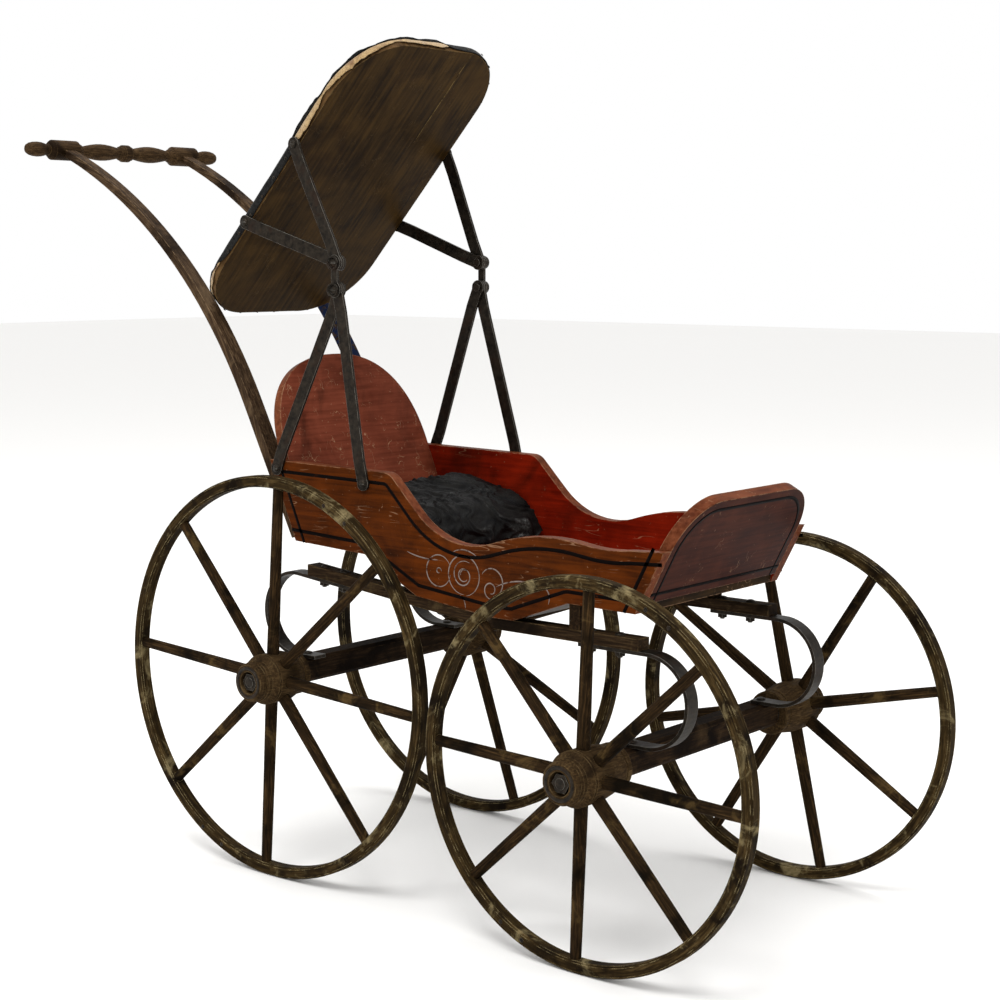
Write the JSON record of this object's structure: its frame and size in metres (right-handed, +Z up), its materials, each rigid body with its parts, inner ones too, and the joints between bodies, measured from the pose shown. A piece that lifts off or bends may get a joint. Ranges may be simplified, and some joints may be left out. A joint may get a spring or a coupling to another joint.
{
  "type": "doll carriage",
  "caption": "Wooden doll carriage with spoked wheels on C-springs, an open body with a foot well, a curved push handle and a tilting board canopy.",
  "frame": {"origin": "on the ground, under the middle of the overall length and on the centre plane", "axes": "+X towards the front, +Y to the carriage's left, +Z up"},
  "size_m": [0.8606, 0.366, 0.7311],
  "materials": {
    "worn_wood": "dull, worn varnish",
    "dark_wood": "dull, dirt-darkened",
    "orange_paint": "worn satin orange-brown paint with black pinstripes",
    "red_paint": "worn satin red paint",
    "maroon_paint": "worn satin maroon paint",
    "iron": "dark wrought iron, rubbed bright at the edges",
    "black_cloth": "cracked black oilcloth",
    "wadding": "coarse tan wadding"
  },
  "bodies": {
    "carriage": {"rear_axle": "iron", "front_axle": "iron", "rear_axle_bed": "dark_wood", "front_axle_bed": "dark_wood", "axle_washers": "iron", "axle_nuts": "iron", "right_rear_spring": "iron", "left_rear_spring": "iron", "right_front_spring": "iron", "left_front_spring": "iron", "right_rail": "worn_wood", "left_rail": "worn_wood", "rest_blocks": "dark_wood", "spring_bolts": "iron", "right_side": "orange_paint", "left_side": "orange_paint", "back_board": "orange_paint", "dash_board": "maroon_paint", "rear_floor": "red_paint", "well_back": "red_paint", "well_floor": "red_paint", "well_front": "red_paint", "front_floor": "red_paint", "seat_board": "red_paint", "seat_cleats": "dark_wood", "seat_cushion": "black_cloth", "seat_cloth": "black_cloth", "right_shaft": "worn_wood", "left_shaft": "worn_wood", "handle_grip": "worn_wood", "handle_cleats": "dark_wood", "body_screws": "iron", "right_rear_stay": "iron", "left_rear_stay": "iron", "right_front_stay": "iron", "left_front_stay": "iron", "lower_pivot_screws": "iron"},
    "right_rear_wheel": {"right_rear_rim": "worn_wood", "right_rear_spokes": "dark_wood", "right_rear_hub": "worn_wood"},
    "right_front_wheel": {"right_front_rim": "worn_wood", "right_front_spokes": "dark_wood", "right_front_hub": "worn_wood"},
    "left_rear_wheel": {"left_rear_rim": "worn_wood", "left_rear_spokes": "dark_wood", "left_rear_hub": "worn_wood"},
    "left_front_wheel": {"left_front_rim": "worn_wood", "left_front_spokes": "dark_wood", "left_front_hub": "worn_wood"},
    "right_link": {"right_link": "iron"},
    "left_link": {"left_link": "iron"},
    "canopy": {"canopy_board": "worn_wood", "canopy_wadding": "wadding", "canopy_cover": "black_cloth", "right_rear_canopy_stay": "iron", "left_rear_canopy_stay": "iron", "right_front_canopy_stay": "iron", "left_front_canopy_stay": "iron", "canopy_screws": "iron"}
  },
  "joints": [
    {"name": "right_rear_wheel_spin", "type": "hinge", "parent": "carriage", "child": "right_rear_wheel", "pos_m": [-0.07665, -0.1355, 0.178], "axis": [0, 1, 0], "continuous": true},
    {"name": "right_front_wheel_spin", "type": "hinge", "parent": "carriage", "child": "right_front_wheel", "pos_m": [0.27635, -0.154, 0.154], "axis": [0, 1, 0], "continuous": true},
    {"name": "left_rear_wheel_spin", "type": "hinge", "parent": "carriage", "child": "left_rear_wheel", "pos_m": [-0.07665, 0.1355, 0.178], "axis": [0, 1, 0], "continuous": true},
    {"name": "left_front_wheel_spin", "type": "hinge", "parent": "carriage", "child": "left_front_wheel", "pos_m": [0.27635, 0.154, 0.154], "axis": [0, 1, 0], "continuous": true},
    {"name": "right_link_hinge", "type": "hinge", "parent": "carriage", "child": "right_link", "pos_m": [-0.03235, -0.098, 0.51612], "axis": [0, 1, 0], "range_deg": [0, 40]},
    {"name": "left_link_hinge", "type": "hinge", "parent": "carriage", "child": "left_link", "pos_m": [-0.03235, 0.098, 0.51612], "axis": [0, 1, 0], "range_deg": [0, 40]},
    {"name": "canopy_tilt", "type": "hinge", "parent": "right_link", "child": "canopy", "pos_m": [-0.03235, 0, 0.53912], "axis": [0, 1, 0], "range_deg": [0, 75]}
  ],
  "couplings": [
    {"joint": "left_link_hinge", "follows": "right_link_hinge", "ratio": 1}
  ]
}
